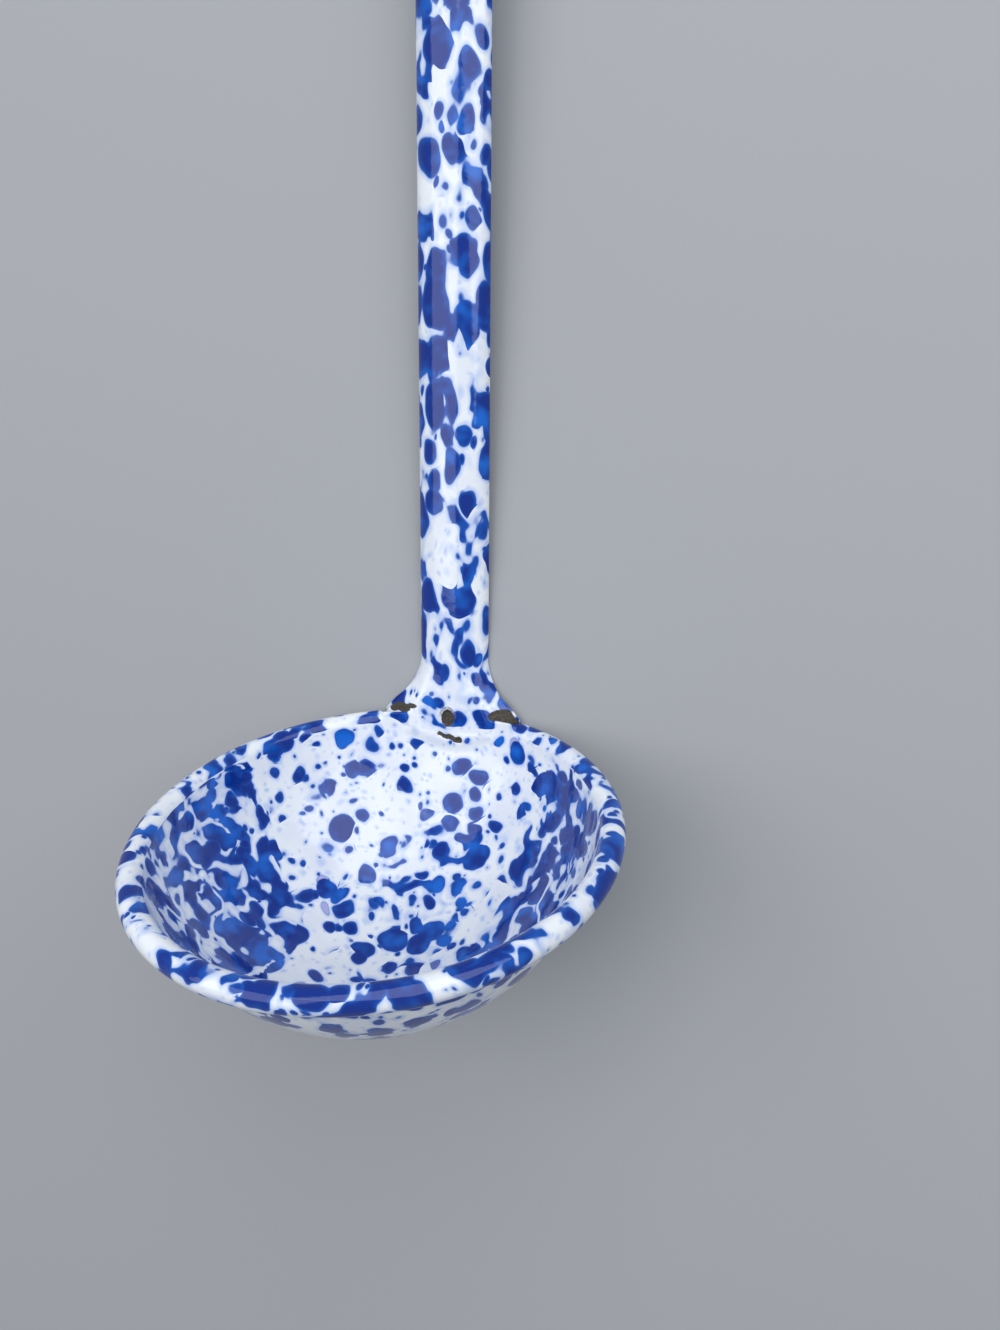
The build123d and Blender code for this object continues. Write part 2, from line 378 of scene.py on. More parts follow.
# The millimetres inside the paint over which its cover and its halo start and its thin
# rim ends, with the most that halo and thin paint have
DROP_EDGE = (-0.1, 0.16)
HALO_RUN = (-0.75, 0.1)
HALO_SHARE = 0.68
THIN_RUN = (0.0, 0.75)
THIN_SHARE = 0.55
# Noises per millimetre, each with its detail, and the levels over which each starts:
# clouds of thin paint, cooler white, scorching, the rims of bare patches, pale steel
CLOUD_NOISE, CLOUD_LEVELS = (0.14, 2.0), (0.48, 0.72)
GROUND_NOISE, GROUND_LEVELS = (0.11, 3.0), (0.35, 0.7)
SCORCH_NOISE, SCORCH_LEVELS = (1.1, 2.0), (0.25, 0.5)
BARE_NOISE, BARE_LEVELS = (1.5, 3.0), (0.42, 0.58)
STEEL_NOISE, STEEL_LEVELS = (2.2, 4.0, 0.65), (0.4, 0.75)
BARE_NOISE_SHARE = 0.6
# Bump: noises, what the glaze's noise and the paint's cover count for, and strengths,
# with the depth in metres
GLAZE_NOISE = (0.55, 1.0)
GLAZE_SHARE = 0.5
COVER_SHARE = 0.14
GLAZE_BUMP = 0.35
NUGGET_NOISE = (3.0, 3.0)
NUGGET_BUMP = 0.6
BUMP_DEPTH = 0.0002
GLAZE_ROUGHNESS = 0.09
STEEL_ROUGHNESS = 0.62
NUGGET_ROUGHNESS = 0.6
IOR = 1.45


def drop_place(graph, place):
    """Where the drops are looked up: longer along the handle, and uneven."""
    x, y, z = graph.parts(place)
    beyond = graph.math("MAXIMUM", graph.subtract(y, STRETCH_FROM), 0.0)
    y = graph.add(graph.math("MINIMUM", y, STRETCH_FROM), graph.multiply(beyond, STRETCH))
    even = graph.node("ShaderNodeCombineXYZ", {"X": x, "Y": y, "Z": z})
    moved = even
    for scale, reach in WARPS:
        noise = graph.noise(even, scale, 0.0, output="Color")
        away = graph.vector("SUBTRACT", noise, [NOISE_MIDDLE] * 3)
        moved = graph.vector("ADD", moved, graph.scaled(away, reach))
    return moved


def drops(graph, place, layer, often, growth=0.0):
    """Millimetres inside one layer's round drops, less than 0 outside, and a chance."""
    cell, sparse, full, least, most = LAYERS[layer]
    cells = graph.tree.nodes.new("ShaderNodeTexVoronoi")
    cells.feature = "SMOOTH_F1"
    cells.inputs["Smoothness"].default_value = SMOOTHNESS
    cells.inputs["Randomness"].default_value = RANDOMNESS
    cells.inputs["Scale"].default_value = 1 / cell
    moved = graph.vector("ADD", place, [layer * shift for shift in LAYER_SHIFT])
    graph.put(cells.inputs["Vector"], moved)
    size_chance, drop_chance, colour_chance = graph.parts(cells.outputs["Color"])
    share = graph.step(often, 0.0, 1.0, sparse, full)
    shown = graph.step(graph.subtract(share, drop_chance), 0.0, FAINT)
    radius = graph.add(graph.step(size_chance, *SIZE_CHANCE, least, most), growth)
    radius = graph.multiply(radius, shown)
    return graph.multiply(graph.subtract(radius, cells.outputs["Distance"]), cell), colour_chance


def pools(graph, place, often, kind):
    """Millimetres inside the paint that ran together, less than 0 outside."""
    scale, thin, dense, gain = kind
    level = graph.run(often, 0.0, 1.0, thin, dense)
    return graph.multiply(graph.subtract(graph.noise(place, scale, POOL_DETAIL), level), gain)


def beside_veins(graph, place, dense):
    """Millimetres from the white veins, less than 0 in them."""
    scale, gain, half = VEINS
    away = graph.math("ABSOLUTE", graph.subtract(graph.noise(place, scale, VEIN_DETAIL), NOISE_MIDDLE))
    return graph.subtract(graph.multiply(away, gain), graph.step(dense, *VEIN_DENSE, NO_VEIN, half))


def splatter(graph, place, kind):
    """Millimetres inside the blue paint, less than 0 outside, and the share of painted reflection, pale
    drops standing in for light glinting off some drops.
    """
    dense, broad = graph.attribute("dense"), graph.attribute("broad")
    growth = graph.multiply(dense, DENSE_GROWTH)
    large, _ = drops(graph, place, LARGE, dense, growth)
    middle, chance = drops(graph, place, MIDDLE, dense, growth)
    small, _ = drops(graph, place, SMALL, dense)
    blue = graph.math("SMOOTH_MAX", pools(graph, place, dense, kind), large, DROP_MELT)
    blue = graph.math("SMOOTH_MIN", blue, beside_veins(graph, place, dense), VEIN_MELT)
    blue = graph.math("SMOOTH_MAX", blue, pools(graph, place, broad, BANDS), BAND_MELT)
    # Painted reflection: pale glints painted on some middle drops where the splatter is thin
    painted_reflection = graph.multiply(graph.step(chance, *REFLECTION_CHANCE), graph.step(middle, *REFLECTION_INSIDE))
    painted_reflection = graph.multiply(painted_reflection, graph.step(blue, *REFLECTION_APART, 1.0, 0.0))
    painted_reflection = graph.multiply(painted_reflection, graph.step(graph.add(dense, broad), *REFLECTION_DENSE, 1.0, 0.0))
    blue = graph.math("MAXIMUM", graph.math("SMOOTH_MAX", blue, middle, MIDDLE_MELT), small)
    return blue, painted_reflection


def bare_steel(graph, place):
    """Burnt bare steel: its colour."""
    return graph.mix(graph.patches(place, STEEL_NOISE, STEEL_LEVELS), STEEL, STEEL_PALE)


def finish(graph, shader, colour, bump, roughness):
    """Sets what each of the ladle's materials has of its own."""
    graph.put(shader.inputs["Base Color"], colour)
    graph.put(shader.inputs["Normal"], bump)
    graph.put(shader.inputs["Roughness"], roughness)
    shader.inputs["IOR"].default_value = IOR


def enamel(name, kind):
    """White enamel with cobalt splatter, pale mauve painted reflections on some drops, and burnt bare
    steel where it is missing.
    """
    material, shader = nodes_of(name)
    graph = Graph(material)
    place = graph.place()
    blue, painted_reflection = splatter(graph, drop_place(graph, place), kind)
    cover = graph.step(blue, *DROP_EDGE)
    halo = graph.step(blue, *HALO_RUN, 0.0, HALO_SHARE)
    cloud = graph.patches(place, CLOUD_NOISE, CLOUD_LEVELS)
    thin = graph.math("MAXIMUM", graph.step(blue, *THIN_RUN, THIN_SHARE, 0.0), cloud)
    ground = graph.mix(graph.patches(place, GROUND_NOISE, GROUND_LEVELS), WHITE, WHITE_COOL)
    # The paint's colour, with pale mauve painted reflections on some drops
    paint = graph.mix(painted_reflection, graph.mix(thin, COBALT, COBALT_THIN), PAINTED_REFLECTION)
    colour = graph.mix(cover, graph.mix(halo, ground, HALO), paint)
    burnt = graph.patches(place, SCORCH_NOISE, SCORCH_LEVELS)
    colour = graph.mix(graph.multiply(graph.attribute("scorch"), burnt), colour, SCORCH)
    rough = graph.subtract(graph.noise(place, *BARE_NOISE), NOISE_MIDDLE)
    rough = graph.multiply(rough, BARE_NOISE_SHARE)
    bare = graph.step(graph.add(graph.attribute("bare"), rough), *BARE_LEVELS)
    colour = graph.mix(bare, colour, bare_steel(graph, place))
    height = graph.add(graph.multiply(graph.noise(place, *GLAZE_NOISE), GLAZE_SHARE),
                       graph.multiply(cover, COVER_SHARE))
    finish(graph, shader, colour, graph.bump(height, GLAZE_BUMP),
           graph.step(bare, 0.0, 1.0, GLAZE_ROUGHNESS, STEEL_ROUGHNESS))
    return material


def weld_steel(name):
    """Bare steel all over, for the welds that the enamel missed."""
    material, shader = nodes_of(name)
    graph = Graph(material)
    place = graph.place()
    grain = graph.noise(place, *NUGGET_NOISE)
    finish(graph, shader, bare_steel(graph, place), graph.bump(grain, NUGGET_BUMP), NUGGET_ROUGHNESS)
    return material


bowl_paint = enamel("bowl_splatter_enamel", BOWL_POOLS)
handle_paint = enamel("handle_splatter_enamel", HANDLE_POOLS)
nugget_paint = weld_steel("bare_weld_steel")

# Where the splatter is dense on the inner wall: left of a line, given by its y and x,
# and near places, each a centre, a radius, half of the run over which it fades, and a
# share
DENSE_LINE = ((-147.0, -19.0), (-142.0, -23.5), (-132.0, -31.0), (-122.0, -35.5), (-110.0, -38.5))
DENSE_LINE_SOFT = 1.5
DENSE_PLACES = (
    ((28.0, -137.0, 31.0), 15.0, 4.0, 1.0),
    ((2.0, -149.0, 31.0), 15.0, 5.0, 0.4),
    ((0.0, -138.0, 14.0), 16.0, 6.0, 0.62),
    ((26.0, -122.0, 20.0), 14.0, 5.0, 0.9),
)
# Shares of dense and of broad splatter elsewhere, BACK_SHARE being dense alone, and the
# lengths up the handle over which its own splatter starts
BACK_SHARE = 0.2
BEAD_SHARES = (0.0, 1.0)
OUTSIDE_SHARES = (0.5, 0.4)
HANDLE_SHARES = (0.52, 0.0)
HANDLE_START = (-2.0, 9.0)


def inner_dense(points):
    """Density of the splatter on the inner wall."""
    x, y = points[..., 0], points[..., 1]
    line_y, line_x = np.array(DENSE_LINE).T
    dense = smooth_step(-DENSE_LINE_SOFT, DENSE_LINE_SOFT, np.interp(y, line_y, line_x) - x)
    for centre, radius, soft, most in DENSE_PLACES:
        away = np.linalg.norm(points - np.array(centre), axis=-1)
        dense = np.maximum(dense, most * (1 - smooth_step(radius - soft, radius + soft, away)))
    return np.maximum(dense, BACK_SHARE)


# Enamel by the tongue: a fillet beside its crescent of an edge, and an open seam.
# TONGUE_HALF leaves out the part that curves into the wings
CRESCENT_DROP = TONGUE_LENGTH - WING_LAP
FLAT_SHARE = 0.95
TONGUE_HALF = FLAT_SHARE * TONGUE_WIDTH / 2
CRESCENT_RADIUS = (TONGUE_HALF**2 + CRESCENT_DROP**2) / (2 * CRESCENT_DROP)
CRESCENT_CENTRE = CRESCENT_RADIUS - TONGUE_LENGTH
# The fillet runs out over this distance, and stands proud of the tongue by a little
FILLET_RUN = (-0.3, 3.0)
FLUSH = 0.03
# Under the tongue it falls away, and most of it is missing round the welds
UNDERCUT = 0.35
UNDERCUT_RUN = 4.5
CORE_HALF = (5.5, 8.0)
CORE_START = (-1.8, 0.0)
CORE_SHARE = 0.85
# The seam: its ends, half of its width at each, the run of its sides in half widths,
# its depth, and the height, radians per millimetre and start of the wave along it
SEAM_FROM = (-2.4, -2.35)
SEAM_TO = (2.5, -3.5)
SEAM_HALF = (0.52, 0.82)
SEAM_SIDE = (0.5, 1.3)
SEAM_DEPTH = 0.35
SEAM_WAVE = (0.16, 2.6, 1.0)


def seam_share(x, s):
    """1 in the open seam below the tongue's middle, 0 outside it."""
    run = np.subtract(SEAM_TO, SEAM_FROM)
    share = ((x - SEAM_FROM[0]) * run[0] + (s - SEAM_FROM[1]) * run[1]) / (run @ run)
    near = np.clip(share, 0, 1)
    height, turns, start = SEAM_WAVE
    wave = height * np.sin(x * turns + start)
    away = np.hypot(x - SEAM_FROM[0] - near * run[0], s - SEAM_FROM[1] - near * run[1] - wave)
    half = SEAM_HALF[0] + near * (SEAM_HALF[1] - SEAM_HALF[0])
    return 1 - smooth_step(*SEAM_SIDE, away / half)


def fillet_height(x, s):
    """Height over the wall of the enamel that runs on to it from the foot."""
    below = np.hypot(x, s - CRESCENT_CENTRE) - CRESCENT_RADIUS
    away = np.maximum(below, np.abs(x) - TONGUE_HALF)
    height = (SHEET + LAP_GAP + FLUSH) * (1 - smooth_step(*FILLET_RUN, away))
    height -= UNDERCUT * smooth_step(0, UNDERCUT_RUN, -away)
    core = (1 - smooth_step(*CORE_HALF, np.abs(x))) * smooth_step(*CORE_START, s)
    return height * (1 - CORE_SHARE * core)


# Bowl: a closed sheet in columns round its axis, each from the middle of the inside
# over the rim to the middle of the outside

# Wall angles from the bowl's axis, in radians: the middle's first ring, where the
# rows start to follow the handle, and the rim
FIRST_RING = 0.02
JOIN = radians(64)
TOP = pi / 2 - LEAN
DEEP_ROWS = 38
NEAR_ROWS = 35
# Half of the angle where the bead is missing, the angle of the dome in which it
# starts, and the angle after the gap from which the columns are even
HALF_GAP = degrees(asin(BEAD_GAP / 2 / RIM_RADIUS))
DOME = 1.7
EVEN_FROM = 3.0
GAP_COLUMNS = 56
DOME_COLUMNS = 7
EVEN_COLUMNS = 98
# More columns, at these angles from the tab's edge
TAB_COLUMNS = (-0.3, -0.15, -0.05, 0.0, 0.05, 0.15)
# Columns stand upright up to this share of the gap, and lean fully at its end
UPRIGHT_SHARE = 0.7
OUTER_BEAD_ROWS = 34
INNER_BEAD_ROWS = 18
BEAD_END_ROWS = 3


def wall_point(x, s, radius):
    """A point of the wall at x across and s above the rim, on a sphere or tube."""
    side = x / INNER_RADIUS
    down = np.minimum(s, 0) / INNER_RADIUS
    deep = np.sqrt(np.maximum(1 - side**2 - down**2, 0))
    return BOWL_CENTRE + spread((side * radius, down * radius + np.maximum(s, 0), -deep * radius),
                                ACROSS, ALONG, FRONT)


def meridian(outward, angles, radius):
    """Points of a sphere, with a row for each wall angle and a column for each way out."""
    angles = np.asarray(angles)[:, None, None]
    return BOWL_CENTRE + radius * (outward * np.sin(angles) - BOWL_AXIS * np.cos(angles))


def bowl_turns():
    """Angles of the columns, in radians from the handle, closer together near it."""
    gap = np.linspace(0, HALF_GAP, GAP_COLUMNS + 1)
    tab = degrees(asin(TAB_WIDTH / 2 / (INNER_RADIUS * sin(TOP)))) + np.array(TAB_COLUMNS)
    dome = HALF_GAP + DOME * (1 - np.cos(np.linspace(0, pi / 2, DOME_COLUMNS + 1)))[1:]
    even = np.linspace(HALF_GAP + EVEN_FROM, 180, EVEN_COLUMNS)
    half = np.unique(np.round(np.concatenate([gap, tab, dome, even]), 4))
    return np.radians(np.concatenate([-half[1:-1][::-1], half]))


def bead_ring():
    """The curled bead's section: radii and angles round its centre line."""
    clear = acos((BEAD_RADIUS - SHEET) / BEAD_RADIUS) + CURL_SLIT / BEAD_RADIUS
    first = pi - LEAN
    last = first - (2 * pi - clear)
    middle = BEAD_RADIUS - SHEET / 2
    ring = [(BEAD_RADIUS, angle) for angle in np.linspace(first, last, OUTER_BEAD_ROWS)[1:]]
    for turned in np.linspace(0, pi, BEAD_END_ROWS + 2)[1:-1]:
        radius = middle + SHEET / 2 * cos(turned)
        ring.append((radius, last - SHEET / 2 * sin(turned) / middle))
    ring += [(BEAD_RADIUS - SHEET, angle) for angle in np.linspace(last, first, INNER_BEAD_ROWS)[:-1]]
    return np.array(ring).T


def plain_wall(outward, near, upright):
    """The wall from the join to its edge where it has no bead: x across and s up."""
    join = meridian(outward, [JOIN], INNER_RADIUS)[0] - FOOT
    join_x, join_s = join @ ACROSS, join @ ALONG
    edge_x = (meridian(outward, [TOP], INNER_RADIUS)[0] - FOOT) @ ACROSS
    corner = np.clip(np.abs(edge_x) - TAB_WIDTH / 2 + TAB_CORNER, 0, TAB_CORNER)
    tab_s = TAB_HEIGHT - TAB_CORNER + np.sqrt(TAB_CORNER**2 - corner**2)
    edge_s = np.where(np.abs(edge_x) < TAB_WIDTH / 2, np.maximum(tab_s, WALL_LIP), WALL_LIP) - SHEET / 2
    share = near[:, None]
    leaning = edge_x * share + join_x * (1 - share)
    x = leaning + upright * np.sqrt(share) * (edge_x - leaning)
    return x, join_s * (1 - share) + edge_s * share


def plain_edge(x, s, thick, count):
    """Rows over the rounded edge of the wall where it has no bead."""
    over = np.linspace(0, pi, count + 2)[1:-1, None]
    radius = OUTER_RADIUS - thick / 2 - thick / 2 * np.cos(over)
    return wall_point(x, s, radius) + spread((SHEET / 2 * np.sin(over),), ALONG)


def bowl_mesh():
    """Rows of points, from the middle of the inside to that of the outside, and looks."""
    turn = bowl_turns()
    outward = spread((np.cos(turn), np.sin(turn)), TO_HANDLE, ACROSS)
    from_handle = np.degrees(np.abs(turn))
    deep = np.concatenate([[0.0], np.linspace(FIRST_RING, JOIN, DEEP_ROWS)])
    near = np.linspace(0, 1, NEAR_ROWS + 1)[1:]

    x, s = plain_wall(outward, near, 1 - smooth_step(UPRIGHT_SHARE * HALF_GAP, HALF_GAP, from_handle))
    seam = seam_share(x, s)
    height = fillet_height(x, s) - SEAM_DEPTH * seam
    radius, angle = bead_ring()
    bead = (RIM_CENTRE + (RIM_RADIUS + radius * np.cos(angle))[:, None, None] * outward
            + (radius * np.sin(angle))[:, None, None] * BOWL_AXIS)
    edge = plain_edge(x[-1], s[-1], SHEET + height[-1], len(bead))

    # From the plain edge to the bead over a short dome
    on_bead = np.clip((from_handle - HALF_GAP) / DOME, 0, 1)
    on_bead = np.sqrt(1 - (1 - on_bead) ** 2)
    grow = on_bead[None, :, None]
    angles = JOIN + (TOP - JOIN) * near
    inner = wall_point(x, s, INNER_RADIUS - height) * (1 - grow)
    inner = inner + meridian(outward, angles, INNER_RADIUS) * grow
    outer = wall_point(x, s, OUTER_RADIUS) * (1 - grow)
    outer = outer + meridian(outward, angles, OUTER_RADIUS) * grow
    rim = edge * (1 - grow) + bead * grow
    rows = np.concatenate([meridian(outward, deep, INNER_RADIUS), inner, rim, outer[::-1],
                           meridian(outward, deep, OUTER_RADIUS)[::-1]])

    rim_from = len(deep) + len(near)
    rim_to = rim_from + len(bead)
    bare, broad, scorch = np.zeros((3, *rows.shape[:2]))
    bare[len(deep):rim_from] = seam * (1 - on_bead)
    dense = inner_dense(rows)
    dense[rim_from:rim_to] = BEAD_SHARES[0] * on_bead + BACK_SHARE * (1 - on_bead)
    broad[rim_from:rim_to] = BEAD_SHARES[1] * on_bead
    dense[rim_to:], broad[rim_to:] = OUTSIDE_SHARES
    rows = rows + unit(BOWL_CENTRE - rows) * ripple(rows, BOWL_RIPPLE)[..., None]
    return rows, {"bare": bare, "dense": dense, "broad": broad, "scorch": scorch}


def bowl_faces(row_count, count):
    """Faces between rows of points that close on themselves, and over both middles."""
    faces = []
    for i in range(row_count - 1):
        for j in range(count):
            k = (j + 1) % count
            a, b = i * count, (i + 1) * count
            faces.append((a + j, a + k, b + k, b + j))
    first = row_count * count
    last = first + 1
    base = (row_count - 1) * count
    faces += [(first, (j + 1) % count, j) for j in range(count)]
    faces += [(last, base + j, base + (j + 1) % count) for j in range(count)]
    return faces


rows, looks = bowl_mesh()
points = np.concatenate([rows[1:-1].reshape(-1, 3), rows[:1, 0], rows[-1:, 0]])
faces = bowl_faces(len(rows) - 2, rows.shape[1])
looks = {key: np.concatenate([column[1:-1].ravel(), column[[0, -1], 0]])
         for key, column in looks.items()}
piece("bowl_shell", points, faces, bowl_paint, "bowl", looks)


# Handle: a front and a back sheet over one grid, joined round the outline. Lengths
# are along its front, from the rim round the hook to the tip

BEND_LENGTH = BEND * HOOK_RADIUS
PATH_LENGTH = HANDLE_LENGTH + BEND_LENGTH + HOOK_TIP
# Rows follow the lower edge up to one length, and the tip's edge over the last part
UPPER = 10.0
ENDING = 9.0
# The angle that half of the columns take, from the channel's crown to its shoulder
SHOULDER = 38.0
# Rows: distances from both ends, runs with a start, an end and a step, and the rows
# of the tip
EDGE_STEPS = np.array([0, 0.03, 0.1, 0.2, 0.3, 0.4])
ROW_RUNS = (
    (EDGE_STEPS[-1] - TONGUE_LENGTH + 0.22, 7.0, 0.22),
    (7.0, 16.0, 0.45),
    (16.6, HANDLE_LENGTH - TAPER_LENGTH, 1.5),
    (HANDLE_LENGTH - TAPER_LENGTH, HANDLE_LENGTH, 1.2),
    (HANDLE_LENGTH, PATH_LENGTH - ENDING, 0.7),
)
TIP_ROWS = 12
TIP_ROWS_END = 0.5
# Columns: runs of shares from the middle to a side, with a count, and those at the edge
COLUMN_SHARES = ((0, 0.47, 28), (0.49, 0.93, 24))
EDGE_SHARES = np.array([0.94, 0.955, 0.97, 0.98, 0.99, 0.997, 1.0])
# Bare patches and the pit, as ovals: x and s of the centre, and half sizes
BARE_PLACES = (
    ((12.4, 2.9), (3.0, 1.45)),
    ((15.2, 1.6), (1.7, 1.9)),
    ((-11.6, 3.0), (2.5, 1.0)),
    ((-8.7, 3.75), (1.2, 0.55)),
    ((-13.9, 2.4), (1.2, 0.75)),
)
PIT = ((-0.35, 1.5), (1.5, 2.0))
# How steeply an oval's rim turns bare, what stays glazed at the edge, and how deep
# each sinks over which run
BARE_GAIN = 2.0
BARE_EDGE = (0.25, 0.8)
BARE_SINK = 0.14
BARE_SINK_RUN = (0.4, 0.7)
PIT_GAIN = 1.6
PIT_SINK = 0.35
PIT_SINK_RUN = (0.0, 0.5)
# Rings round the pit, as a middle and a width in shares of it: raised, and scorched
# from this run of heights up
PIT_RIDGE = (-0.25, 0.16)
PIT_RIDGE_HEIGHT = 0.1
SCORCH_RING = (-0.22, 0.15)
SCORCH_START = (-0.5, 1.5)


def open_foot(length, half, depth, share, side):
    """Front and back of the foot's open section, its left laid over its right."""
    inner = np.clip(2 * share, 0, 1)
    outer = np.clip(2 * share - 1, 0, 1)
    tongue = half * TONGUE_WIDTH / FOOT_WIDTH
    radius = np.sqrt(FRONT_RADIUS**2 - np.minimum(length, 0) ** 2)
    edge = INNER_RADIUS - np.sqrt(radius**2 - tongue**2)
    fall = edge - SHEET + depth
    x = tongue * inner
    front = np.stack(np.broadcast_arrays(x, INNER_RADIUS - np.sqrt(radius**2 - x**2)), -1)
    knots = [(tongue, edge)]
    knots += [(tongue + a * (half - tongue), edge - b * fall) for a, b in WING_SHARES]
    knots = [np.stack(np.broadcast_arrays(a, b), -1) for a, b in knots]
    lean = np.arcsin(tongue / radius)
    leave = np.stack([np.cos(lean), np.sin(lean)], -1)
    leave = leave * np.linalg.norm(knots[1] - knots[0], axis=-1, keepdims=True)
    slopes = [leave, (knots[2] - knots[0]) / 2, (knots[3] - knots[1]) / 2, knots[3] - knots[2]]
    for k in range(len(WING_SHARES)):
        part = outer[..., None] * len(WING_SHARES) - k
        curve = hermite(np.clip(part, 0, 1), knots[k], knots[k + 1], slopes[k], slopes[k + 1])
        front = np.where(part > 0, curve, front)
    run = unit(np.gradient(front, axis=1))
    normal = np.stack([run[..., 1], -run[..., 0]], -1) * side[..., None]
    normal = np.where(side[..., None] == 0, np.array([0.0, -1.0]), normal)
    return front, front + normal * SHEET


def handle_section(length, share):
    """Front and back points across the handle, x and n, at path lengths and shares."""
    flare, opened = stations(FOOT_STATIONS, np.clip(length, -WING_LAP, FOOT_HEIGHT))
    taper_at = np.clip((length - HANDLE_LENGTH + TAPER_LENGTH) / TAPER_LENGTH, 0, 1)
    taper, = stations(TAPER_SHARES, taper_at)
    half = (HANDLE_WIDTH + flare * (FOOT_WIDTH - HANDLE_WIDTH) + taper * (HOOK_WIDTH - HANDLE_WIDTH)) / 2
    depth = CHANNEL_DEPTH + opened * (FOOT_DEPTH - CHANNEL_DEPTH) + taper * (HOOK_DEPTH - CHANNEL_DEPTH)
    opened = opened[..., None]
    side = np.sign(share)
    share = np.abs(share)
    arch = SHOULDER * np.clip(2 * share, 0, 1) + (90 - SHOULDER) * np.clip(2 * share - 1, 0, 1)
    arch = np.radians(arch)
    found = []
    for inset, opening in zip((0, SHEET), open_foot(length, half, depth, share, side)):
        closed = np.stack([(half - inset) * np.sin(arch),
                           SHEET - inset - (depth - inset) * (1 - np.cos(arch))], -1)
        both = closed * (1 - opened) + opening * opened
        found.append(np.stack([both[..., 0] * side, both[..., 1]], -1))
    return found


def on_path(length, x, n):
    """Points of the handle, along its straight, round its hook and out its tip."""
    turned = np.clip((length - HANDLE_LENGTH) / HOOK_RADIUS, 0, BEND)
    before = np.minimum(length, HANDLE_LENGTH)
    beyond = np.maximum(length - HANDLE_LENGTH - BEND_LENGTH, 0)
    reach = n - HOOK_CENTRE
    s = before + reach * np.sin(turned) + beyond * np.cos(turned)
    height = HOOK_CENTRE + reach * np.cos(turned) - beyond * np.sin(turned)
    return FOOT + spread((x, s, height), ACROSS, ALONG, FRONT)


def handle_grid():
    """Rows of nominal lengths, and columns of shares from side to side."""
    rows = [EDGE_STEPS - TONGUE_LENGTH]
    rows += [np.arange(*run) for run in ROW_RUNS]
    rows += [np.linspace(PATH_LENGTH - ENDING, PATH_LENGTH - TIP_ROWS_END, TIP_ROWS)]
    rows += [PATH_LENGTH - EDGE_STEPS[::-1]]
    half = np.concatenate([np.linspace(*run) for run in COLUMN_SHARES] + [EDGE_SHARES])
    return np.concatenate(rows)[:, None], np.concatenate([-half[1:][::-1], half])[None, :]


def handle_ends(share):
    """Lengths of the lower edge and of the tip's edge at each share."""
    # A crescent on the tongue, and straight with a rounded corner on the wings
    front, _ = handle_section(np.full((1, 1), -WING_LAP), share)
    x = np.abs(front[..., 0])
    crescent = CRESCENT_CENTRE - np.sqrt(np.maximum(CRESCENT_RADIUS**2 - x**2, 0))
    corner = np.clip(x - x.max() + WING_CORNER, 0, WING_CORNER)
    straight = -WING_LAP + WING_CORNER - np.sqrt(WING_CORNER**2 - corner**2)
    lower = np.where(x < TONGUE_HALF, np.minimum(crescent, straight), straight)
    # Rounded corners at the tip
    front, _ = handle_section(np.full((1, 1), PATH_LENGTH), share)
    corner = np.clip(np.abs(front[..., 0]) - HOOK_WIDTH / 2 + HOOK_CORNER, 0, HOOK_CORNER)
    return lower, PATH_LENGTH - HOOK_CORNER + np.sqrt(HOOK_CORNER**2 - corner**2)


def blob(x, s, place):
    """How far inside an oval a point is, from its rim at 0 to its middle at 1."""
    (cx, cs), (rx, rs) = place
    return 1 - np.hypot((x - cx) / rx, (s - cs) / rs)


def handle_wear(x, s, edge):
    """How bare and scorched the foot's front is, and how far its surface sinks."""
    bare = np.zeros(x.shape)
    for place in BARE_PLACES:
        bare = np.maximum(bare, np.clip(blob(x, s, place) * BARE_GAIN + 0.5, 0, 1))
    bare = bare * smooth_step(*BARE_EDGE, edge)
    pit = blob(x, s, PIT)
    scorch = bell(pit, *SCORCH_RING) * smooth_step(*SCORCH_START, s - PIT[0][1])
    bare = np.maximum(bare, np.clip(pit * PIT_GAIN + 0.5, 0, 1))
    seam = seam_share(x, s)
    sink = (BARE_SINK * smooth_step(*BARE_SINK_RUN, bare) + PIT_SINK * smooth_step(*PIT_SINK_RUN, pit)
            - PIT_RIDGE_HEIGHT * bell(pit, *PIT_RIDGE) + SEAM_DEPTH * seam)
    return np.maximum(bare, seam), scorch, sink


def handle_mesh():
    """The front and back sheets as grids of points, and the looks of the front."""
    rows, share = handle_grid()
    lower, upper = handle_ends(share)
    rising = np.clip((rows + TONGUE_LENGTH) / (UPPER + TONGUE_LENGTH), 0, 1)
    length = np.where(rows < UPPER, lower + rising * (UPPER - lower), rows)
    ending_from = PATH_LENGTH - ENDING
    ending = np.clip((rows - ending_from) / ENDING, 0, 1)
    length = np.where(rows > ending_from, ending_from + ending * (upper - ending_from), length)

    # Both sheets meet in a rounded edge
    front, back = handle_section(length, share)
    steps = np.linalg.norm(np.diff(front, axis=1), axis=-1)
    across = np.concatenate([np.zeros((len(rows), 1)), np.cumsum(steps, axis=1)], axis=1)
    edge = np.minimum(across, across[:, -1:] - across)
    edge = np.minimum(edge, np.minimum(length - lower, upper - length))
    round_off = np.sqrt(1 - (1 - np.clip(edge / (SHEET / 2), 0, 1)) ** 2)[..., None]
    bare, scorch, sink = handle_wear(front[..., 0], length, edge)
    middle = (front + back) / 2
    core = on_path(length, middle[..., 0], middle[..., 1])
    sheets = []
    for sheet, sunk in ((front, sink), (back, 0)):
        sheet = middle + (sheet - middle) * round_off
        placed = on_path(length, sheet[..., 0], sheet[..., 1])
        depth = (sunk + ripple(placed, HANDLE_RIPPLE))[..., None]
        sheets.append(placed + unit(core - placed) * depth * round_off)
    up = smooth_step(*HANDLE_START, length)
    dense = BACK_SHARE + up * (HANDLE_SHARES[0] - BACK_SHARE)
    broad = up * HANDLE_SHARES[1]
    return sheets, {"bare": bare, "dense": dense, "broad": broad, "scorch": scorch}


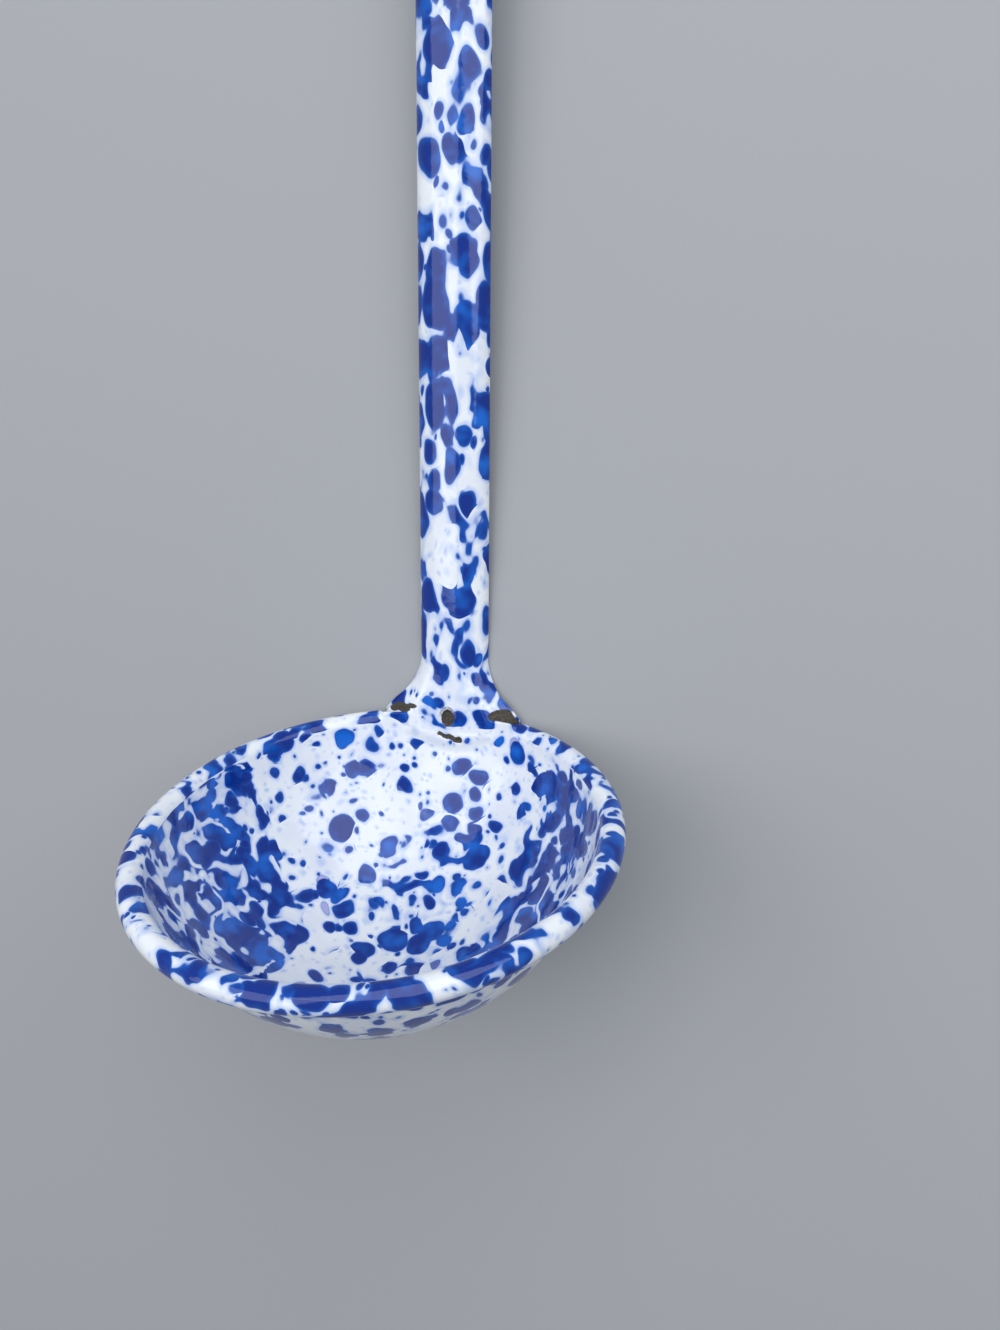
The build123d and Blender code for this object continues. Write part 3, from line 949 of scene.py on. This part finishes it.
def joined(front, back):
    """Points and faces of two sheets with one outline, and which of the back's are its own."""
    row_count, column_count = front.shape[:2]
    number = np.arange(row_count * column_count).reshape(row_count, column_count)
    own = np.zeros(number.shape, bool)
    own[1:-1, 1:-1] = True
    twin = number.copy()
    twin[own] = number.size + np.arange(own.sum())
    faces = []
    for i in range(row_count - 1):
        for j in range(column_count - 1):
            for sheet, order in ((number, 1), (twin, -1)):
                quad = (sheet[i, j], sheet[i, j + 1], sheet[i + 1, j + 1], sheet[i + 1, j])
                faces.append(tuple(int(corner) for corner in quad[::order]))
    return np.concatenate([front.reshape(-1, 3), back[own]]), faces, own


(front, back), looks = handle_mesh()
points, faces, own = joined(front, back)
points[:, 2] = np.maximum(points[:, 2], cad_low[2] / MM)
FRONT_LOOKS = ("bare", "scorch")
looks = {key: np.concatenate([column.ravel(), column[own] * (key not in FRONT_LOOKS)])
         for key, column in looks.items()}
piece("handle_strip", points, faces, handle_paint, "handle", looks)


# Weld nuggets: low uneven domes in the pits and behind the tab

# Front and back: the sphere that the dome stands on, its way towards the bowl's
# centre or away from it, and its height
NUGGET_SIDES = ((FRONT_RADIUS + 0.42, 1, 0.12), (OUTER_RADIUS - 0.1, -1, 0.22))
NUGGET_RINGS = 7
NUGGET_SPOKES = 28
# Lobes round a nugget's outline, as a share of its radius and a count, and the lift of
# one side of its dome, as a share of its height, with the turn from middle to rim
FIRST_LOBES = (0.06, 3)
SECOND_LOBES = (0.04, 5)
DOME_LIFT = (0.3, 4)


def nugget_point(weld, i, j, radius, sign, swell):
    """A point of a dome, on ring i from its middle and at spoke j."""
    share = i / NUGGET_RINGS
    turn = 2 * pi * j / NUGGET_SPOKES
    uneven = 1
    for (depth, count), start in ((FIRST_LOBES, weld), (SECOND_LOBES, 0)):
        uneven += depth * sin(count * turn + start)
    reach = WELD_RADIUS * share * uneven
    lift = swell * (1 - share**2) * (1 + DOME_LIFT[0] * sin(DOME_LIFT[1] * share + turn))
    centre = WELD_SHIFT + (weld - (WELD_COUNT - 1) / 2) * WELD_PITCH
    return wall_point(centre + reach * cos(turn), WELD_HEIGHT + reach * sin(turn), radius - sign * lift)


def nugget_mesh():
    points, faces = [], []
    for weld in range(WELD_COUNT):
        for radius, sign, swell in NUGGET_SIDES:
            start = len(points)
            for i in range(NUGGET_RINGS + 1):
                for j in range(NUGGET_SPOKES if i else 1):
                    points.append(nugget_point(weld, i, j, radius, sign, swell))
            for j in range(NUGGET_SPOKES):
                k = (j + 1) % NUGGET_SPOKES
                faces.append((start, start + 1 + j, start + 1 + k)[::sign])
                for i in range(1, NUGGET_RINGS):
                    a = start + 1 + (i - 1) * NUGGET_SPOKES
                    b = a + NUGGET_SPOKES
                    faces.append((a + j, b + j, b + k, a + k)[::sign])
    return np.array(points), faces


points, faces = nugget_mesh()
piece("weld_nuggets", points, faces, nugget_paint, "spot_welds")

# Floor: a disc that fades out into the backdrop
FLOOR_RADIUS = 2500.0
FLOOR_DROP = 0.05
FLOOR_CORNERS = 96
FLOOR_COLOUR = srgb(164, 166, 169)
FLOOR_ROUGHNESS = 0.8
# Metres from the object's middle over which it fades
FADE = (0.42, 1.3)
turns = [2 * pi * k / FLOOR_CORNERS for k in range(FLOOR_CORNERS)]
floor_mesh = bpy.data.meshes.new("floor")
floor_mesh.from_pydata([(FLOOR_RADIUS * MM * cos(turn), FLOOR_RADIUS * MM * sin(turn), -FLOOR_DROP * MM)
                        for turn in turns], [], [tuple(range(FLOOR_CORNERS))])
floor = bpy.data.objects.new("floor", floor_mesh)
bpy.context.scene.collection.objects.link(floor)
floor_paint, shader = nodes_of("floor_paint")
graph = Graph(floor_paint)
away = graph.vector("LENGTH", graph.object_place(), output="Value")
clear = graph.node("ShaderNodeBsdfTransparent")
faded = graph.node("ShaderNodeMixShader",
                   {0: graph.step(away, *FADE), 1: shader.outputs[0], 2: clear})
graph.put(floor_paint.node_tree.nodes["Material Output"].inputs["Surface"], faded)
shader.inputs["Base Color"].default_value = FLOOR_COLOUR
shader.inputs["Roughness"].default_value = FLOOR_ROUGHNESS
floor_mesh.materials.append(floor_paint)

# Light: each lamp's place, target and size in metres, and its power in watts
LAMPS = (
    ("window", (0.33, 0.42, 0.68), (0, -0.13, 0.02), (1.1, 0.88), 6.8),
    ("overhead", (-0.5, 0.1, 1.0), (0, 0, 0), (0.9, 0.9), 4.9),
)
SKY = srgb(144, 149, 158)
BACKDROP = srgb(176, 178, 183)
for name, place, target, size, power in LAMPS:
    data = bpy.data.lights.new(name, "AREA")
    data.shape = "RECTANGLE"
    data.size, data.size_y = size
    data.energy = power
    lamp = bpy.data.objects.new(name, data)
    bpy.context.scene.collection.objects.link(lamp)
    lamp.location = place
    lamp.rotation_mode = "QUATERNION"
    lamp.rotation_quaternion = (Vector(target) - Vector(place)).to_track_quat("-Z", "Y")

# The backdrop is what the camera, reflections and glass see, and the sky gives light
world = bpy.data.worlds.new("studio")
bpy.context.scene.world = world
world.use_nodes = True
graph = Graph(world)
background = world.node_tree.nodes["Background"]
rays = graph.tree.nodes.new("ShaderNodeLightPath")
seen = graph.math("MAXIMUM", rays.outputs["Is Camera Ray"], rays.outputs["Is Glossy Ray"])
seen = graph.math("MAXIMUM", seen, rays.outputs["Is Transmission Ray"])
graph.put(background.inputs["Color"], graph.mix(seen, SKY, BACKDROP))
graph.put(background.inputs["Strength"], 1.0)

# Camera: its place in rim radii from the rim's centre, its right and its way ahead,
# each as across, towards the handle and up the bowl's axis
CAMERA_PLACE = (1.745, -3.346, 2.497)
CAMERA_RIGHT = (0.953, 0.297, -0.057)
CAMERA_AHEAD = (-0.292, 0.856, -0.426)
PHOTO_HEIGHT = 1330
FOCAL_PIXELS = 1050
SENSOR = 36.0
NEAREST = 0.005
FARTHEST = 20.0
camera_data = bpy.data.cameras.new("camera")
camera = bpy.data.objects.new("camera", camera_data)
bpy.context.scene.collection.objects.link(camera)
camera_data.sensor_width = SENSOR
camera_data.lens = FOCAL_PIXELS * SENSOR / PHOTO_HEIGHT
camera_data.clip_start = NEAREST
camera_data.clip_end = FARTHEST
bowl_axes = (ACROSS, TO_HANDLE, BOWL_AXIS)
camera_ahead = Vector(spread(CAMERA_AHEAD, *bowl_axes)).normalized()
camera_up = Vector(spread(CAMERA_RIGHT, *bowl_axes)).cross(camera_ahead).normalized()
camera_right = camera_ahead.cross(camera_up)
turn = Matrix((camera_right, camera_up, -camera_ahead)).transposed()
camera.location = Vector((RIM_CENTRE + RIM_RADIUS * spread(CAMERA_PLACE, *bowl_axes)) * MM)
camera.rotation_mode = "QUATERNION"
camera.rotation_quaternion = turn.to_quaternion()
bpy.context.scene.camera = camera
bpy.context.scene.view_settings.view_transform = "Standard"
